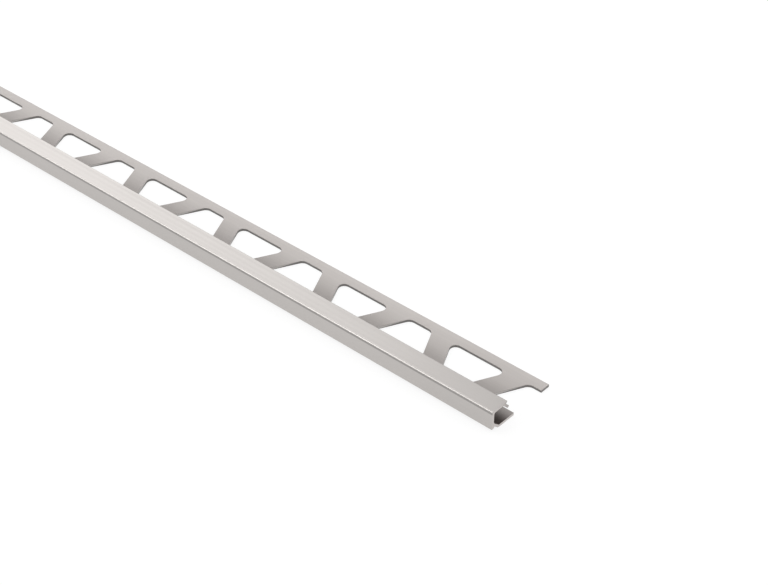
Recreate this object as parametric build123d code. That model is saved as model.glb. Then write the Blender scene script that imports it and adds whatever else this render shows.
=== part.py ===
"""Tile edge trim: one length of extruded aluminium stock with a punched anchoring leg.

The section is a small open channel. Its front wall and its top are the two faces that
stay in view at the edge of a tiled surface. Behind them a slanted web leads down to the
anchoring leg, which lies on the ground under the tile. A slanted fin under the back of
the top keeps the tile's edge a joint's width away. The front wall ends in a short lip,
just above the ground.

The leg has a row of trapezoid windows, punched through it with the narrow side turned to
the rim and to the channel by turns, so that the ribs between them run zigzag. The stock is
sawn square at both ends, and the saw cuts through a window's middle at the +X end.

X runs along the stock, +Y from the front wall to the leg's rim, +Z up from the ground.
The origin is at the middle of the length and width, on the ground. Millimetres.
"""

import math
import os

from build123d import *

# The stock
length = 1000.0
overall_width = 28.0
profile_height = 8.0
leg_thickness = 1.0

# The two faces that stay in view
wall_thickness = 1.0
top_width = 7.1
top_thickness = 0.9
edge_radius = 0.6

# The slanted web between the front wall and the leg, and the lip below it
web_thickness = 0.9
web_angle = 41.0
web_foot = 3.5
lip_thickness = 1.05
lip_clearance = 1.1
notch_angle = -60.0

# The fin that spaces the tile from the top's back edge
fin_thickness = 0.9
fin_angle = 46.0
fin_reach = 0.9
undercut_depth = 0.8
undercut_setback = 0.7

# Radii of the die's corners
channel_top_radius = 0.6
channel_low_radius = 1.0
root_radius = 0.3
rim_radius = 0.2
fine_radius = 0.12

# The punched windows
window_pitch = 24.0
window_flank_angle = 26.5
window_corner_radius = 2.35
rib_width = 7.25
rim_width = 3.9
window_start = 10.6
first_window_centre = 0.0
punch_overrun = 1.0

front_y = -overall_width / 2
rim_y = front_y + overall_width
end_x = length / 2


def slope(angle):
    """A unit step that falls away from the front wall at this angle below level."""
    return Vector(math.cos(math.radians(angle)), -math.sin(math.radians(angle)))


def drop_to(point, direction, height):
    """Where a line from this point along this direction comes to a height."""
    return point + direction * ((height - point.Y) / direction.Y)


def at_distance(point, direction, distance):
    """Where a line from this point along this direction comes to a distance from the front."""
    return point + direction * ((distance - point.X) / direction.X)


def section():
    """The die's opening: a face across the stock, as (distance from the front, height)."""
    ceiling = profile_height - top_thickness

    # The web runs down from the wall to the leg. Its two sides are parallel.
    web_run = slope(web_angle)
    web_out = Vector(web_run.Y, -web_run.X) * web_thickness
    inner_foot = Vector(web_foot, leg_thickness)
    inner_bend = at_distance(inner_foot, web_run, wall_thickness)
    outer_foot = drop_to(inner_foot + web_out, web_run, 0)
    lip_corner = Vector(lip_thickness, lip_clearance)
    notch_side = slope(notch_angle)
    notch_run = (outer_foot - lip_corner).cross(web_run).Z / notch_side.cross(web_run).Z
    notch = lip_corner + notch_side * notch_run

    # The fin leaves the top where the undercut of its back edge ends.
    fin_run = slope(fin_angle)
    fin_under = Vector(fin_run.Y, -fin_run.X) * fin_thickness
    fin_root = Vector(top_width - undercut_setback, profile_height - undercut_depth)
    fin_tip = at_distance(fin_root, fin_run, top_width + fin_reach)
    fin_low_tip = fin_tip + fin_under
    fin_low_root = drop_to(fin_low_tip, fin_run, ceiling)

    outline = [
        (Vector(overall_width, 0), rim_radius),
        (Vector(overall_width, leg_thickness), rim_radius),
        (inner_foot, root_radius),
        (inner_bend, channel_low_radius),
        (Vector(wall_thickness, ceiling), channel_top_radius),
        (fin_low_root, root_radius),
        (fin_low_tip, rim_radius),
        (fin_tip, rim_radius),
        (fin_root, fine_radius),
        (Vector(top_width, profile_height), fine_radius),
        (Vector(0, profile_height), edge_radius),
        (Vector(0, lip_clearance), fine_radius),
        (lip_corner, rim_radius),
        (notch, rim_radius),
        (outer_foot, root_radius),
    ]
    corners = [corner for corner, _ in outline]
    radii = [radius for _, radius in outline]
    boundary = FilletPolyline(*corners, radius=radii, close=True)
    return Plane.YZ.offset(-end_x) * Pos(front_y, 0) * make_face(boundary)


def window(narrow_at_rim):
    """One punched window in plan, about its own middle in X.

    Its narrow side is turned to the rim or to the channel.
    """
    near = front_y + window_start
    far = rim_y - rim_width
    spread = (far - near) * math.tan(math.radians(window_flank_angle)) / 2
    mean = (window_pitch - rib_width / math.cos(math.radians(window_flank_angle))) / 2
    lean = -spread if narrow_at_rim else spread
    near_half = mean - lean
    far_half = mean + lean
    corners = [(-near_half, near), (near_half, near), (far_half, far), (-far_half, far)]
    return make_face(FilletPolyline(*corners, radius=window_corner_radius, close=True))


def windows():
    """The whole row of punches, from the saw cut at the +X end to the other end."""
    first_x = end_x - first_window_centre
    count = math.ceil((length - first_window_centre) / window_pitch) + 1
    plan = [
        Pos(first_x - k * window_pitch, 0, -punch_overrun) * window(narrow_at_rim=k % 2 == 0)
        for k in range(count)
    ]
    return extrude(Sketch() + plan, leg_thickness + 2 * punch_overrun)


def edge_trim():
    """The finished stock: the extruded bar with its leg punched."""
    return extrude(section(), length) - windows()


os.makedirs("parts", exist_ok=True)
export_step(edge_trim(), "parts/edge_trim.step")
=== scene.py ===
# %% [markdown]
# # A tile edge trim in satin anodised aluminium
# This lesson dresses one length of tile trim. The real thing is a single extrusion: a small
# square-fronted channel with a thin anchoring leg behind it. The leg is punched with trapezoid
# windows, the whole bar is anodised, and the stock is then sawn to length.
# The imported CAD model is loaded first. It fixes every size and place. What follows only gives
# the bar finely rounded edges, a finish, light and a camera.

# %% Load the frame
import math

import bmesh
import bpy
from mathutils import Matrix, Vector


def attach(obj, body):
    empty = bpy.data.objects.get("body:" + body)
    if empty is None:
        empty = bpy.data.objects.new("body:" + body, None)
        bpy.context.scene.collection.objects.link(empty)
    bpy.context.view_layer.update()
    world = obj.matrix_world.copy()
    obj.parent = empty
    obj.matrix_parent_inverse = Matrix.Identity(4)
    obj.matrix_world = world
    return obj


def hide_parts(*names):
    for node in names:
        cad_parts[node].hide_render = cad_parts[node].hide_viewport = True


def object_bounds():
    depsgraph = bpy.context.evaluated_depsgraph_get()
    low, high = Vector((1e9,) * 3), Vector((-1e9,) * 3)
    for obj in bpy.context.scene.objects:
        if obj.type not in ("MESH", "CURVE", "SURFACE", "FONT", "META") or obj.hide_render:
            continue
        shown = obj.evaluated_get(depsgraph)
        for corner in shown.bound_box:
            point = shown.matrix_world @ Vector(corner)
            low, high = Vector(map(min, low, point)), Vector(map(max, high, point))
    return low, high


mm = 0.001

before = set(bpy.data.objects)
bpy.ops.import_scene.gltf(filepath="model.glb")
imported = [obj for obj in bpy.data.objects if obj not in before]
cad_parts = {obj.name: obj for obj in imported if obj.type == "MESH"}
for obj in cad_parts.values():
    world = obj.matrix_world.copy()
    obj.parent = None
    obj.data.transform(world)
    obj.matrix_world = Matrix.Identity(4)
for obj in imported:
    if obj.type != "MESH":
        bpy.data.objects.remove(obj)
cad_low, cad_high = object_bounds()
print("bar", [round(side / mm, 2) for side in cad_high - cad_low], "mm")

# %% [markdown]
# ## The camera
# It comes first, so that every later choice can be judged in the picture that counts. The
# photograph was taken from close by, in front of the bar and beyond its sawn end, looking
# down along the bar. A camera's Euler angles do that in two turns: the first tips it up from
# looking straight down, the second swings it round the vertical.

# %% Place the camera
end_x = cad_high.x
front_y = cad_low.y

camera_from_near_corner = Vector((195.5, -264.3, 298.8)) * mm
camera_azimuth = math.radians(41.99)
camera_elevation = math.radians(37.06)
sensor_width_mm = 36.0
focal_length_mm = 70.48

camera_data = bpy.data.cameras.new("camera")
camera_data.sensor_width = sensor_width_mm
camera_data.lens = focal_length_mm
camera_data.clip_start = 10 * mm
camera = bpy.data.objects.new("camera", camera_data)
camera.location = Vector((end_x, front_y, 0)) + camera_from_near_corner
camera.rotation_euler = (math.pi / 2 - camera_elevation, 0, camera_azimuth)
bpy.context.scene.collection.objects.link(camera)
bpy.context.scene.camera = camera
print("camera", [round(value, 4) for value in camera.location])

# %% [markdown]
# ## The section
# An extruded bar is its section pulled along a line, so the section comes first. Two faces stay
# in view when the tiles are laid, the front wall and the top. A slanted web joins the wall to
# the leg, and a slanted fin under the back of the top keeps the tile a joint's width away.
# The CAD mesh has these corners too, but its fillets are only a facet or two. A satin metal
# shows its edges by how they catch the light, so the section is drawn again here at the same
# sizes, with finely stepped arcs.

# %% Sizes of the section
profile_height = cad_high.z
overall_width = cad_high.y - cad_low.y
leg_thickness = 1.0 * mm
wall_thickness = 1.0 * mm
top_width = 7.1 * mm
top_thickness = 0.9 * mm
edge_radius = 0.6 * mm

web_thickness = 0.9 * mm
web_angle = math.radians(41.0)
web_foot = 3.5 * mm
lip_thickness = 1.05 * mm
lip_clearance = 1.1 * mm
notch_angle = math.radians(-60.0)

fin_thickness = 0.9 * mm
fin_angle = math.radians(46.0)
fin_reach = 0.9 * mm
undercut_depth = 0.8 * mm
undercut_setback = 0.7 * mm

channel_top_radius = 0.6 * mm
channel_low_radius = 1.0 * mm
root_radius = 0.3 * mm
rim_radius = 0.2 * mm
fine_radius = 0.12 * mm
print("section", [round(side / mm, 2) for side in (overall_width, profile_height)], "mm")


# %% Where the section's corners are
def falling(angle):
    """A unit step away from the front wall that falls at this angle."""
    return Vector((math.cos(angle), -math.sin(angle)))


def below(direction, distance):
    """A step square to a falling line, to the side that faces the ground."""
    return Vector((direction.y, -direction.x)) * distance


def at_height(point, direction, height):
    """Where a line through a point comes to a height."""
    return point + direction * ((height - point.y) / direction.y)


def at_distance(point, direction, distance):
    """Where a line through a point comes to a distance from the front."""
    return point + direction * ((distance - point.x) / direction.x)


def crossing(point, direction, other_point, other_direction):
    """Where two lines cross."""
    reach = (other_point - point).cross(other_direction) / direction.cross(other_direction)
    return point + direction * reach


def section_corners():
    """Each corner of the section and its radius, as (distance from the front, height)."""
    ceiling = profile_height - top_thickness
    web = falling(web_angle)
    inner_foot = Vector((web_foot, leg_thickness))
    outer_foot = at_height(inner_foot + below(web, web_thickness), web, 0)
    lip = Vector((lip_thickness, lip_clearance))
    fin = falling(fin_angle)
    fin_root = Vector((top_width - undercut_setback, profile_height - undercut_depth))
    fin_tip = at_distance(fin_root, fin, top_width + fin_reach)
    fin_low_tip = fin_tip + below(fin, fin_thickness)
    return [
        (Vector((overall_width, 0)), rim_radius),
        (Vector((overall_width, leg_thickness)), rim_radius),
        (inner_foot, root_radius),
        (at_distance(inner_foot, web, wall_thickness), channel_low_radius),
        (Vector((wall_thickness, ceiling)), channel_top_radius),
        (at_height(fin_low_tip, fin, ceiling), root_radius),
        (fin_low_tip, rim_radius),
        (fin_tip, rim_radius),
        (fin_root, fine_radius),
        (Vector((top_width, profile_height)), fine_radius),
        (Vector((0, profile_height)), edge_radius),
        (Vector((0, lip_clearance)), fine_radius),
        (lip, rim_radius),
        (crossing(lip, falling(notch_angle), outer_foot, web), rim_radius),
        (outer_foot, root_radius),
    ]


corners, radii = zip(*section_corners())
print("section has", len(corners), "corners")

# %% [markdown]
# A rounded outline in bmesh: a face is made on the corners, and each corner is then bevelled as
# a vertex. A vertex bevel is measured along the edges, so an arc of a given radius needs the
# length of its tangents, which depends on how sharply the corner turns.

# %% A face with rounded corners
arc_step = math.radians(9.0)
fewest_steps = 2


def tangent_length(vertex, radius):
    """How far from this corner an arc of this radius meets its two sides, and how far it turns."""
    sides = [edge.other_vert(vertex).co - vertex.co for edge in vertex.link_edges]
    opening = sides[0].angle(sides[1])
    return radius / math.tan(opening / 2), math.pi - opening


def rounded_face(mesh, corners, radii):
    """A flat face on these corners, each rounded to its own radius."""
    vertices = [mesh.verts.new(corner) for corner in corners]
    face = mesh.faces.new(vertices)
    face.normal_update()
    turns = [tangent_length(vertex, radius) for vertex, radius in zip(vertices, radii)]
    for vertex, (tangent, turn) in zip(vertices, turns):
        bmesh.ops.bevel(
            mesh,
            geom=[vertex],
            offset=tangent,
            affect="VERTICES",
            segments=max(fewest_steps, round(turn / arc_step)),
            profile=0.5,
            material=-1,
        )


bar = bmesh.new()
rounded_face(bar, [Vector((end_x, front_y + corner.x, corner.y)) for corner in corners], radii)
print("rounded outline has", len(bar.verts), "points")

# %% [markdown]
# ## The bar
# The section is pulled from the sawn end back along the bar. The first pull is half a window's
# pitch long, and those after it a whole one, as far as the bar goes. So every window later falls
# inside a panel of its own, the Boolean only has to cut one small face at a time, and the mesh
# stays clean.

# %% Pull the section into a bar
window_pitch = 24.0 * mm
bar_length = 2 * end_x
nothing_left = 0.01 * mm


def pull(mesh, faces, step):
    """Extrude these faces by a step and return the faces at the far end."""
    edges = {edge for face in faces for edge in face.edges}
    pulled = bmesh.ops.extrude_face_region(mesh, geom=[*faces, *edges])["geom"]
    moved = [item for item in pulled if isinstance(item, bmesh.types.BMVert)]
    bmesh.ops.translate(mesh, verts=moved, vec=step)
    return [item for item in pulled if isinstance(item, bmesh.types.BMFace)]


tip = list(bar.faces)
remaining = bar_length
reach = window_pitch / 2
while remaining > nothing_left:
    tip = pull(bar, tip, Vector((-min(reach, remaining), 0, 0)))
    remaining -= reach
    reach = window_pitch
bmesh.ops.recalc_face_normals(bar, faces=bar.faces)
print("bar has", len(bar.faces), "faces and volume", round(bar.calc_volume() / mm**3), "mm3")

# %% [markdown]
# ## The punched windows
# On the real bar a press punches the leg, two windows to a stroke: one with its narrow side to
# the rim, the next with its narrow side to the channel. What is left between them is a zigzag of
# slanted ribs, which the adhesive grips. The same tool is made here as a row of prisms, and a
# Boolean modifier is the press.

# %% Sizes of the windows
flank_angle = math.radians(26.5)
window_corner_radius = 2.35 * mm
rib_width = 7.25 * mm
rim_width = 3.9 * mm
window_start = 10.6 * mm
punch_overrun = 1.0 * mm

near_y = front_y + window_start
far_y = front_y + overall_width - rim_width
mean_half = (window_pitch - rib_width / math.cos(flank_angle)) / 2
spread = (far_y - near_y) * math.tan(flank_angle) / 2
window_count = math.ceil(bar_length / window_pitch) + 1
print(window_count, "windows,", round((far_y - near_y) / mm, 2), "mm deep")


# %% Make the row of punches
def add_punch(mesh, centre_x, narrow_at_rim):
    """One rounded trapezoid prism through the leg."""
    lean = -spread if narrow_at_rim else spread
    near_half = mean_half - lean
    far_half = mean_half + lean
    low = -punch_overrun
    corners = [
        Vector((centre_x - near_half, near_y, low)),
        Vector((centre_x + near_half, near_y, low)),
        Vector((centre_x + far_half, far_y, low)),
        Vector((centre_x - far_half, far_y, low)),
    ]
    rounded_face(mesh, corners, [window_corner_radius] * len(corners))
    pull(mesh, list(mesh.faces), Vector((0, 0, leg_thickness + 2 * punch_overrun)))


punches = bmesh.new()
for index in range(window_count):
    punch = bmesh.new()
    add_punch(punch, end_x - index * window_pitch, narrow_at_rim=index % 2 == 0)
    bmesh.ops.recalc_face_normals(punch, faces=punch.faces)
    one = bpy.data.meshes.new("punch")
    punch.to_mesh(one)
    punch.free()
    punches.from_mesh(one)
    bpy.data.meshes.remove(one)
print("punches have", len(punches.faces), "faces")


# %% Punch the leg
def object_from(mesh, name):
    """A linked object at the origin that holds this bmesh."""
    data = bpy.data.meshes.new(name)
    mesh.to_mesh(data)
    mesh.free()
    made = bpy.data.objects.new(name, data)
    bpy.context.scene.collection.objects.link(made)
    return made


def evaluated_mesh(made):
    """This object's mesh with its modifiers applied."""
    bpy.context.view_layer.update()
    graph = bpy.context.evaluated_depsgraph_get()
    return bpy.data.meshes.new_from_object(made.evaluated_get(graph), depsgraph=graph)


blank = object_from(bar, "blank")
tool = object_from(punches, "tool")
press = blank.modifiers.new("press", "BOOLEAN")
press.operation = "DIFFERENCE"
press.solver = "EXACT"
press.object = tool
punched = evaluated_mesh(blank)
for spent in (blank, tool):
    bpy.data.objects.remove(spent)
print("punched bar has", len(punched.polygons), "faces")

# %% [markdown]
# ## Broken edges
# Nothing punched or sawn has a mathematically sharp edge. The press rolls the rim of a window,
# and the saw's burr is brushed off. A small bevel on every sharp edge gives each of them its
# thin line of light. The fillets of the die are left alone, because their steps turn only a few
# degrees each.

# %% Bevel what the press and the saw left sharp
broken_edge = 0.07 * mm
sharp_turn = math.radians(40.0)
same_point = 0.001 * mm

trim = bmesh.new()
trim.from_mesh(punched)
bmesh.ops.remove_doubles(trim, verts=trim.verts, dist=same_point)
sharp = [edge for edge in trim.edges if edge.is_manifold and edge.calc_face_angle() > sharp_turn]
bmesh.ops.bevel(
    trim,
    geom=sharp,
    offset=broken_edge,
    affect="EDGES",
    segments=2,
    profile=0.5,
    material=-1,
    clamp_overlap=False,
)
open_edges = [edge for edge in trim.edges if not edge.is_manifold]
print(len(sharp), "sharp edges bevelled,", len(open_edges), "open edges left")

# %% [markdown]
# ## Four surfaces on one mesh
# The bar is one piece of metal, but it was brushed, left alone, punched and sawn in different
# places, and each of these looks different. So each face gets the number of its material. Where
# a face lies and which way it is turned tell how it was made.

# %% Sort the faces by how they were made
SHOWN, HIDDEN, PUNCHED, SAWN = range(4)
near_enough = 0.02 * mm
web_top = leg_thickness + web_foot * math.tan(web_angle)

# How far a face is turned towards an axis: 1 is squarely, 0 is not at all.
squarely = 0.95
hardly = 0.3
slightly = 0.1


def how_made(face):
    """Which surface a face belongs to: brushed, not brushed, punched or sawn."""
    middle = face.calc_center_median()
    if abs(face.normal.x) > squarely and end_x - abs(middle.x) < near_enough:
        return SAWN
    by_windows = near_y - near_enough < middle.y < far_y + near_enough
    if by_windows and middle.z < leg_thickness and abs(face.normal.z) < hardly:
        return PUNCHED
    on_top = middle.z > profile_height - edge_radius and face.normal.z > slightly
    on_front = middle.y < front_y + edge_radius and face.normal.y < -slightly
    behind_top = middle.y > front_y + top_width - undercut_setback - near_enough
    on_back = behind_top and middle.z > web_top and face.normal.y > slightly
    return SHOWN if on_top or on_front or on_back else HIDDEN


for face in trim.faces:
    face.smooth = True
    face.material_index = how_made(face)
kinds = [face.material_index for face in trim.faces]
print("brushed", kinds.count(SHOWN), "not brushed", kinds.count(HIDDEN))
print("punched", kinds.count(PUNCHED), "sawn", kinds.count(SAWN))

# %% Hand the bar to the frame
anodised_trim = object_from(trim, "anodised_trim")
even_shading = anodised_trim.modifiers.new("even_shading", "WEIGHTED_NORMAL")
even_shading.mode = "FACE_AREA"
even_shading.weight = 100
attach(anodised_trim, "root")
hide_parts("edge_trim")
print("trim has", len(anodised_trim.data.vertices), "vertices")

# %% [markdown]
# ## The finish
# The bar has one alloy and four surfaces. The wall and top that stay in view are brushed and
# anodised to a satin sheen. The leg, web and channel go through the same bath but are never
# brushed, so they stay matt. The punch leaves sheared and torn walls in the windows, and the saw
# leaves bright bare metal with the arcs of its blade.
# Three textures are used by more than one of them, so each is a node group: the fine lines that
# the die draws along the bar, the grain that the etching bath leaves, and a slow drift of tone.
# Every pattern reads Object coordinates, which are metres here, so a scale is a count per metre.


# %% Helpers for node trees
def add_node(tree, kind, **settings):
    """A new node with these settings."""
    made = tree.nodes.new(kind)
    for name, value in settings.items():
        setattr(made, name, value)
    return made


def feed(tree, source, target):
    """Link an output to an input, or set the input where the source is a plain value."""
    if isinstance(source, bpy.types.NodeSocket):
        tree.links.new(source, target)
    else:
        target.default_value = source


def math_node(tree, operation, first, second):
    """One step of arithmetic."""
    made = add_node(tree, "ShaderNodeMath", operation=operation)
    feed(tree, first, made.inputs[0])
    feed(tree, second, made.inputs[1])
    return made.outputs["Value"]


def weigh(tree, first, second, second_share):
    """Two values as one, in which the second has this share."""
    first_part = math_node(tree, "MULTIPLY", first, 1.0 - second_share)
    second_part = math_node(tree, "MULTIPLY", second, second_share)
    return math_node(tree, "ADD", first_part, second_part)


def remap(tree, value, source_range, target_range=(0.0, 1.0)):
    """A value carried smoothly from one range to another, or to a mask from 0 to 1."""
    made = add_node(tree, "ShaderNodeMapRange", interpolation_type="SMOOTHSTEP")
    feed(tree, value, made.inputs["Value"])
    made.inputs["From Min"].default_value, made.inputs["From Max"].default_value = source_range
    made.inputs["To Min"].default_value, made.inputs["To Max"].default_value = target_range
    return made.outputs["Result"]


# %% Helpers for patterns
def axis_of(tree, axis):
    """One Object coordinate, in metres."""
    place = add_node(tree, "ShaderNodeTexCoord")
    axes = add_node(tree, "ShaderNodeSeparateXYZ")
    tree.links.new(place.outputs["Object"], axes.inputs["Vector"])
    return axes.outputs[axis]


def stretched_noise(tree, per_metre, detail):
    """Noise with its own count of grains per metre along X, Y and Z."""
    place = add_node(tree, "ShaderNodeTexCoord")
    scale = add_node(tree, "ShaderNodeVectorMath", operation="MULTIPLY")
    tree.links.new(place.outputs["Object"], scale.inputs[0])
    feed(tree, per_metre, scale.inputs[1])
    noise = add_node(tree, "ShaderNodeTexNoise")
    noise.inputs["Scale"].default_value = 1.0
    noise.inputs["Detail"].default_value = detail
    tree.links.new(scale.outputs["Vector"], noise.inputs["Vector"])
    return noise.outputs["Fac"]


def new_group(name, inputs, outputs):
    """An empty node group with float sockets, its input node and its output node."""
    group = bpy.data.node_groups.new(name, "ShaderNodeTree")
    for label, value in inputs.items():
        socket = group.interface.new_socket(label, in_out="INPUT", socket_type="NodeSocketFloat")
        socket.default_value = value
    for label in outputs:
        group.interface.new_socket(label, in_out="OUTPUT", socket_type="NodeSocketFloat")
    return group, add_node(group, "NodeGroupInput"), add_node(group, "NodeGroupOutput")


def place_group(tree, group, **values):
    """A copy of a group in a material, with its own values."""
    made = add_node(tree, "ShaderNodeGroup", node_tree=group)
    for label, value in values.items():
        made.inputs[label.replace("_", " ").capitalize()].default_value = value
    return made.outputs


# %% [markdown]
# ### Die lines
# A die is a steel plate, and every nick in it draws a line along the whole bar. Noise that is
# fine across the bar and very long along it gives such lines. A second, broader layer gives
# wider and softer bands among them.

# %% The group of die lines
lines_along = 2.5
band_share = 0.14

die_lines, group_in, group_out = new_group("die_lines", {"Per metre": 5000.0}, ["Line"])
across = group_in.outputs["Per metre"]
fine_scale = add_node(die_lines, "ShaderNodeCombineXYZ")
broad_scale = add_node(die_lines, "ShaderNodeCombineXYZ")
for scale, share in ((fine_scale, 1.0), (broad_scale, band_share)):
    scale.inputs["X"].default_value = lines_along
    for axis in ("Y", "Z"):
        die_lines.links.new(math_node(die_lines, "MULTIPLY", across, share), scale.inputs[axis])
fine_lines = stretched_noise(die_lines, fine_scale.outputs["Vector"], detail=2.0)
broad_lines = stretched_noise(die_lines, broad_scale.outputs["Vector"], detail=1.0)
line = weigh(die_lines, fine_lines, broad_lines, 0.5)
die_lines.links.new(line, group_out.inputs["Line"])
print("group", die_lines.name)

# %% [markdown]
# ### Etched grain
# Before it is anodised, the bar lies in a caustic bath that eats a fine, even grain into it. The
# grain is what makes the metal matt. It is finer than the eye resolves, so it shows as sheen.

# %% The group of etched grain
etched_grain, group_in, group_out = new_group("etched_grain", {"Per metre": 9000.0}, ["Grain"])
grain = stretched_noise(etched_grain, (1.0, 1.0, 1.0), detail=3.0)
etched_grain.links.new(group_in.outputs["Per metre"], grain.node.inputs["Scale"])
etched_grain.links.new(grain, group_out.inputs["Grain"])
print("group", etched_grain.name)

# %% [markdown]
# ### A drift of tone
# The thickness of the oxide changes a little along the bar, and the grey gets lighter or darker
# with it. The drift is centimetres long, and weak: a buyer who lays two lengths end to end must
# not see it.

# %% The group of tone drift
tone_drift, group_in, group_out = new_group("tone_drift", {"Per metre": 30.0}, ["Drift"])
drift = stretched_noise(tone_drift, (0.5, 2.0, 2.0), detail=2.0)
tone_drift.links.new(group_in.outputs["Per metre"], drift.node.inputs["Scale"])
tone_drift.links.new(drift, group_out.inputs["Drift"])
print("group", tone_drift.name)

# %% [markdown]
# ### What every material starts from
# Each material is a Principled shader wired to an output. Colours, roughness and relief are then
# fed into it. A Mix node keeps a set of sockets for every kind of data, so the ones for colours
# are found by their numbers. Noise seldom leaves the middle of its range, so a pattern that
# should swing all the way is stretched from there.

# %% Helpers for materials
COLOUR_A, COLOUR_B, COLOUR_RESULT = 6, 7, 2
noise_middle = (0.35, 0.65)
noise_most = (0.3, 0.7)


def new_material(name):
    """A node material with an output and a Principled shader, and its tree."""
    material = bpy.data.materials.new(name)
    material.use_nodes = True
    tree = material.node_tree
    tree.nodes.clear()
    shader = tree.nodes.new("ShaderNodeBsdfPrincipled")
    output = tree.nodes.new("ShaderNodeOutputMaterial")
    tree.links.new(shader.outputs["BSDF"], output.inputs["Surface"])
    return material, tree, shader


def shade(colour, factor):
    """The same colour, lighter or darker."""
    return tuple(channel * factor for channel in colour)


def blend_colours(tree, mask, first, second):
    """The first colour where the mask is 0, the second where it is 1."""
    made = add_node(tree, "ShaderNodeMix", data_type="RGBA")
    feed(tree, mask, made.inputs["Factor"])
    for number, colour in ((COLOUR_A, first), (COLOUR_B, second)):
        source = colour if isinstance(colour, bpy.types.NodeSocket) else (*colour, 1)
        feed(tree, source, made.inputs[number])
    return made.outputs[COLOUR_RESULT]


def relief(tree, shader, height, depth, strength):
    """Turn a height of 0 to 1 into a relief of this depth."""
    made = add_node(tree, "ShaderNodeBump")
    made.inputs["Strength"].default_value = strength
    made.inputs["Distance"].default_value = depth
    tree.links.new(height, made.inputs["Height"])
    tree.links.new(made.outputs["Normal"], shader.inputs["Normal"])


# %% [markdown]
# ### The brushed faces
# Satin anodised aluminium is a metal with a broad, soft reflection. Its colour is a warm light
# grey, a tint that the bath gives it. The lines and the grain hardly change its colour. They
# change how rough it is from place to place, and tilt the surface by a hair.
# A thin dark line runs just under the rounded edge. It is painted shade: the dark line that a
# rounded edge shows below its highlight, made as a darker band in the colour. It is a mask made of
# three soft steps: two on the height, and one that keeps it to the front.

# %% Brushed and anodised
warm_tint = (1.05, 1.0, 0.965)
face_grey = 0.495
darkest_tone = 0.965
lightest_tone = 1.035
drift_share = 0.4
grain_share = 0.5
brushed_roughness = (0.30, 0.40)

brushed_face, tree, shader = new_material("brushed_face")
line = place_group(tree, die_lines, per_metre=7000.0)["Line"]
grain = place_group(tree, etched_grain, per_metre=9000.0)["Grain"]
drift = place_group(tree, tone_drift, per_metre=30.0)["Drift"]
face_colour = blend_colours(
    tree,
    remap(tree, weigh(tree, line, drift, drift_share), noise_middle),
    shade(warm_tint, face_grey * darkest_tone),
    shade(warm_tint, face_grey * lightest_tone),
)
shader.inputs["Metallic"].default_value = 1.0
tree.links.new(remap(tree, line, noise_middle, brushed_roughness), shader.inputs["Roughness"])
scratches = math_node(tree, "ADD", line, math_node(tree, "MULTIPLY", grain, grain_share))
relief(tree, shader, scratches, depth=0.012 * mm, strength=0.5)
print("material", brushed_face.name)

# %% The painted shade under the rounded edge
rounding_starts = profile_height - edge_radius
edge_shade_starts = rounding_starts - 0.8 * mm
edge_shade_full_from = rounding_starts - 0.25 * mm
edge_shade_full_to = rounding_starts + 0.05 * mm
edge_begins = rounding_starts + 0.3 * mm
front_ends = (front_y + 0.1 * mm, front_y + 0.3 * mm)
edge_shade_share = 0.60

# The mask below is painted shade: it darkens a thin band on the front just under the rounded edge.
height = axis_of(tree, "Z")
below_edge = remap(tree, height, (edge_shade_starts, edge_shade_full_from))
before_edge = remap(tree, height, (edge_shade_full_to, edge_begins), (1.0, 0.0))
on_front = remap(tree, axis_of(tree, "Y"), front_ends, (1.0, 0.0))
painted_edge_shade = math_node(tree, "MULTIPLY", math_node(tree, "MULTIPLY", below_edge, before_edge), on_front)
face_colour = blend_colours(tree, painted_edge_shade, face_colour, shade(warm_tint, face_grey * edge_shade_share))
tree.links.new(face_colour, shader.inputs["Base Color"])
print("dull band from", round(edge_shade_starts / mm, 2), "to", round(edge_begins / mm, 2), "mm up")

# %% [markdown]
# ### The matt leg
# The same bath without the brushing. The oxide scatters light like a fine ceramic, so only a small
# part of its look is metal. The grey is the leg's own at the open rim. Towards the corner under
# the top it is darkened, and inside the channel it is nearly black. That is painted shade,
# standing in for the shade that the top and the channel walls cast. Two soft steps on the distance
# from the front wall carry the painted shade: one across the leg, one across the mouth of the
# channel.

# %% Anodised but never brushed
# Apart from the leg's own grey, the greys here are painted shade, under the top and inside the
# channel.
channel_shade_brown = (0.03, 0.012, 0.006)
channel_shade_grey = 0.03
mouth_shade_grey = 0.352
leg_grey = 0.54
channel_ends = front_y + web_foot + 1.0 * mm
mouth_ends = near_y
top_shade_ends = front_y + 27.0 * mm
streak_range = (0.945, 1.055)
metal_share = 0.15
matt_roughness = (0.54, 0.64)

matt_leg, tree, shader = new_material("matt_leg")
line = place_group(tree, die_lines, per_metre=4000.0)["Line"]
grain = place_group(tree, etched_grain, per_metre=7000.0)["Grain"]
drift = place_group(tree, tone_drift, per_metre=24.0)["Drift"]
distance = axis_of(tree, "Y")
# Painted shade: the grey falls from the open rim towards the top and into the channel.
channel_shade_ramp = remap(tree, distance, (channel_ends, mouth_ends), (channel_shade_grey, mouth_shade_grey))
top_shade_ramp = remap(tree, distance, (mouth_ends, top_shade_ends), (0.0, leg_grey - mouth_shade_grey))
grey_under_painted_shade = math_node(tree, "ADD", channel_shade_ramp, top_shade_ramp)
streaks = remap(tree, weigh(tree, line, drift, drift_share), noise_middle, streak_range)
grey = math_node(tree, "MULTIPLY", grey_under_painted_shade, streaks)
tree.links.new(blend_colours(tree, grey, channel_shade_brown, warm_tint), shader.inputs["Base Color"])
shader.inputs["Metallic"].default_value = metal_share
tree.links.new(remap(tree, line, noise_most, matt_roughness), shader.inputs["Roughness"])
relief(tree, shader, math_node(tree, "ADD", line, grain), depth=0.03 * mm, strength=0.6)
print("material", matt_leg.name)
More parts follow.
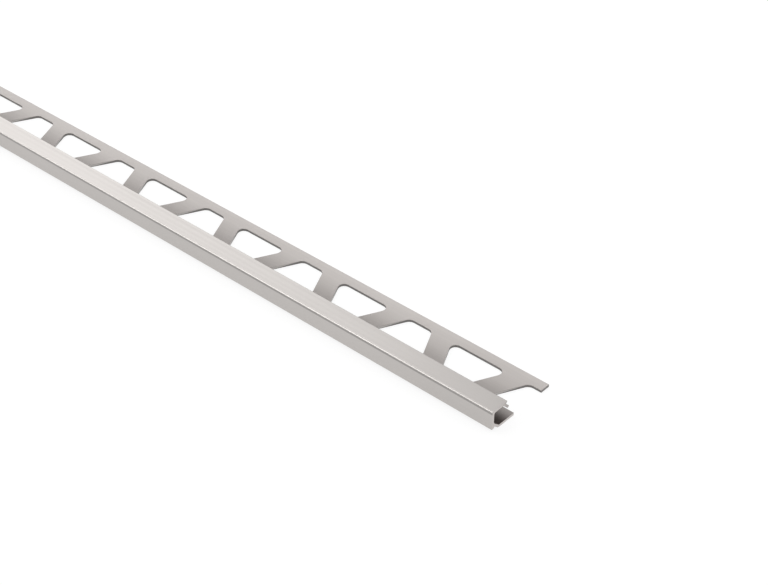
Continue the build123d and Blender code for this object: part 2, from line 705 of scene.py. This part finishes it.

# %% [markdown]
# ### Punched walls
# A punch first shears the metal, which leaves a burnished band with upright score marks, and then
# tears through the rest, which leaves a rough dark one. The border between the two bands is a
# height that rises towards the rim, and noise makes it ragged. So the walls are lighter by the
# channel than by the rim. That slope is a painted reflection of the brighter surroundings that the
# walls there mirror, laid over the real sheared and torn bands.

# %% Sheared and torn
# The rise of the border towards the rim is painted light: as a painted reflection, it makes the
# walls lighter by the channel.
border_by_channel = 0.1 * leg_thickness
border_at_rim = 0.85 * leg_thickness
border_rises = (near_y + 2.0 * mm, far_y - 1.0 * mm)
border_raggedness = 0.4 * mm
border_softness = 0.05 * mm
scores_per_metre = (9000.0, 9000.0, 500.0)
score_share = 0.5
torn_grey = 0.225
sheared_grey = 0.40
torn_roughness = 0.65
sheared_roughness = 0.4

punched_wall, tree, shader = new_material("punched_wall")
scores = stretched_noise(tree, scores_per_metre, detail=2.0)
centred = math_node(tree, "SUBTRACT", scores, 0.5)
ragged = math_node(tree, "MULTIPLY", centred, border_raggedness)
border = remap(tree, axis_of(tree, "Y"), border_rises, (border_by_channel, border_at_rim))
height = math_node(tree, "ADD", axis_of(tree, "Z"), ragged)
above_border = math_node(tree, "SUBTRACT", height, border)
sheared = remap(tree, above_border, (-border_softness, border_softness))
wall_shades = (shade(warm_tint, torn_grey), shade(warm_tint, sheared_grey))
tree.links.new(blend_colours(tree, sheared, *wall_shades), shader.inputs["Base Color"])
shader.inputs["Metallic"].default_value = 1.0
wall_roughness = remap(tree, sheared, (0.0, 1.0), (torn_roughness, sheared_roughness))
tree.links.new(wall_roughness, shader.inputs["Roughness"])
torn_grain = place_group(tree, etched_grain, per_metre=16000.0)["Grain"]
torn = math_node(tree, "MULTIPLY", math_node(tree, "SUBTRACT", 1.0, sheared), torn_grain)
scored = math_node(tree, "MULTIPLY", scores, score_share)
relief(tree, shader, math_node(tree, "ADD", torn, scored), depth=0.04 * mm, strength=0.6)
print("material", punched_wall.name)

# %% [markdown]
# ### Sawn ends
# The blade is far larger than the bar, so its teeth leave nearly straight arcs. They are rings
# round an axle well below the bench, and the noise that draws them reads only the distance from
# that axle.

# %% The arcs of the blade
blade_radius = 150.0 * mm
axle = Vector((0, -0.3 * blade_radius, -blade_radius))
arcs_per_metre = 4200.0

sawn_end, tree, shader = new_material("sawn_end")
place = add_node(tree, "ShaderNodeTexCoord")
from_axle = add_node(tree, "ShaderNodeVectorMath", operation="SUBTRACT")
from_axle.inputs[1].default_value = axle
tree.links.new(place.outputs["Object"], from_axle.inputs[0])
in_blade_plane = add_node(tree, "ShaderNodeVectorMath", operation="MULTIPLY")
in_blade_plane.inputs[1].default_value = (0, 1, 1)
tree.links.new(from_axle.outputs["Vector"], in_blade_plane.inputs[0])
ring = add_node(tree, "ShaderNodeVectorMath", operation="LENGTH")
tree.links.new(in_blade_plane.outputs["Vector"], ring.inputs[0])
arc_noise = add_node(tree, "ShaderNodeTexNoise", noise_dimensions="1D")
arc_noise.inputs["Scale"].default_value = arcs_per_metre
arc_noise.inputs["Detail"].default_value = 2.0
tree.links.new(ring.outputs["Value"], arc_noise.inputs["W"])
arcs = arc_noise.outputs["Fac"]
relief(tree, shader, arcs, depth=0.03 * mm, strength=0.5)
print("arcs round", [round(value / mm) for value in axle], "mm")

# %% [markdown]
# The metal is bare here, and the wall and the web keep its colour. The end of the back of the top
# with its fin is darkened a little, and the end of the leg's rim to a dull grey. That is painted
# shade, for the shadow under the fin and the floor's contact shadow at the leg.

# %% Bare metal, with painted shade at the fin and the leg's rim
bare_metal = (0.615, 0.575, 0.555)
groove_share = 0.86
sawn_roughness = (0.34, 0.46)
leg_end_shade = 0.36
fin_end_shade = 0.66

# Where each soft step sets in and where it is complete.
leg_shade_steps = (near_y, near_y + 4.0 * mm)
fin_shade_steps = (front_y + 3.6 * mm, front_y + 7.0 * mm)
web_ends = (web_top, web_top + 0.5 * mm)

arc_mask = remap(tree, arcs, noise_most)
cut_colour = blend_colours(tree, arc_mask, shade(bare_metal, groove_share), bare_metal)
# Painted shade: the end of the leg's rim and the end of the fin are darkened.
on_leg = remap(tree, axis_of(tree, "Y"), leg_shade_steps)
end_colour = blend_colours(tree, on_leg, cut_colour, shade(bare_metal, leg_end_shade))
far_back = remap(tree, axis_of(tree, "Y"), fin_shade_steps)
above_web = remap(tree, axis_of(tree, "Z"), web_ends)
on_fin = math_node(tree, "MULTIPLY", far_back, above_web)
end_colour = blend_colours(tree, on_fin, end_colour, shade(bare_metal, fin_end_shade))
tree.links.new(end_colour, shader.inputs["Base Color"])
shader.inputs["Metallic"].default_value = 1.0
grain = place_group(tree, etched_grain, per_metre=12000.0)["Grain"]
tree.links.new(remap(tree, grain, noise_most, sawn_roughness), shader.inputs["Roughness"])
print("material", sawn_end.name)

# %% Dress the bar
# The materials go on in the order of their numbers: SHOWN, HIDDEN, PUNCHED, SAWN.
for material in (brushed_face, matt_leg, punched_wall, sawn_end):
    anodised_trim.data.materials.append(material)
print("materials", [slot.material.name for slot in anodised_trim.material_slots])

# %% [markdown]
# ## The studio
# A pale floor under a plain soft sky. The floor has to read as white without a flood of light,
# so part of its white is a glow that only the camera and reflections can see: it lights nothing
# else, and the shadow of the bar stays on the paint below it.

# %% Floor
floor_reach = 30.0
floor_paint_colour = (0.18, 0.18, 0.18, 1)
floor_roughness = 0.9
floor_glow = 0.86

floor_mesh = bmesh.new()
bmesh.ops.create_grid(floor_mesh, x_segments=1, y_segments=1, size=floor_reach)
floor = object_from(floor_mesh, "floor")
floor_paint, tree, shader = new_material("floor_paint")
shader.inputs["Base Color"].default_value = floor_paint_colour
shader.inputs["Roughness"].default_value = floor_roughness
shader.inputs["Specular IOR Level"].default_value = 0.0
shader.inputs["Emission Color"].default_value = (1, 1, 1, 1)
path = add_node(tree, "ShaderNodeLightPath")
seen = math_node(tree, "MAXIMUM", path.outputs["Is Camera Ray"], path.outputs["Is Glossy Ray"])
seen = math_node(tree, "MAXIMUM", seen, path.outputs["Is Transmission Ray"])
tree.links.new(math_node(tree, "MULTIPLY", seen, floor_glow), shader.inputs["Emission Strength"])
floor.data.materials.append(floor_paint)
print("floor reaches", floor_reach, "m to every side")

# %% [markdown]
# A metal shows its surroundings more than its own colour, so the sky matters as much as the
# finish. It is dim at the horizon and brighter overhead, and four lobes are laid over it. The
# nearer a direction is to the middle of a lobe, the more the lobe adds or takes, and its edge is
# the cosine of its radius.
# A wide softbox stands beyond the far end of the bar. The top mirrors it at a low angle, so it
# brightens along the bar. A small strong one, in front of the bar and to the left of the camera,
# draws the thin line of light on the rounded edge. A dark card low under it keeps the front wall
# from going pale. A weak fill beyond the sawn end lights the top for whoever looks from the other
# end.

# %% What stands round the bar
lobes = {
    "wide softbox": {"azimuth": 161.0, "elevation": 36.0, "edge": 0.8, "gain": 1.3},
    "small strong softbox": {"azimuth": -134.0, "elevation": 28.0, "edge": 0.89, "gain": 3.05},
    "dark card": {"azimuth": -150.0, "elevation": 4.0, "edge": 0.6, "gain": -0.35},
    "weak fill": {"azimuth": 35.0, "elevation": 35.0, "edge": 0.6, "gain": 0.45},
}


def pointing(azimuth, elevation):
    """A unit vector from an azimuth, counted from +X towards +Y, and an elevation, in degrees."""
    round_z, up = math.radians(azimuth), math.radians(elevation)
    return (math.cos(up) * math.cos(round_z), math.cos(up) * math.sin(round_z), math.sin(up))


print("round the bar:", ", ".join(lobes))

# %% World
horizon_level = 0.35
zenith_level = 0.7

world = bpy.data.worlds.new("studio")
world.use_nodes = True
sky = world.node_tree
background = sky.nodes["Background"]
background.inputs["Color"].default_value = (1, 1, 1, 1)
direction = add_node(sky, "ShaderNodeTexCoord").outputs["Generated"]
axes = add_node(sky, "ShaderNodeSeparateXYZ")
sky.links.new(direction, axes.inputs["Vector"])
rise = add_node(sky, "ShaderNodeMapRange")
rise.inputs["To Min"].default_value = horizon_level
rise.inputs["To Max"].default_value = zenith_level
sky.links.new(axes.outputs["Z"], rise.inputs["Value"])
level = rise.outputs["Result"]
for lobe in lobes.values():
    aim = add_node(sky, "ShaderNodeVectorMath", operation="DOT_PRODUCT")
    sky.links.new(direction, aim.inputs[0])
    aim.inputs[1].default_value = pointing(lobe["azimuth"], lobe["elevation"])
    strength = remap(sky, aim.outputs["Value"], (lobe["edge"], 1.0), (0.0, lobe["gain"]))
    level = math_node(sky, "ADD", level, strength)
sky.links.new(level, background.inputs["Strength"])
bpy.context.scene.world = world
print("sky from", horizon_level, "to", zenith_level)

# %% [markdown]
# ## Colour
# The Standard view transform shows a colour about as it is written.

# %% Colour
bpy.context.scene.view_settings.view_transform = "Standard"
bpy.context.view_layer.update()
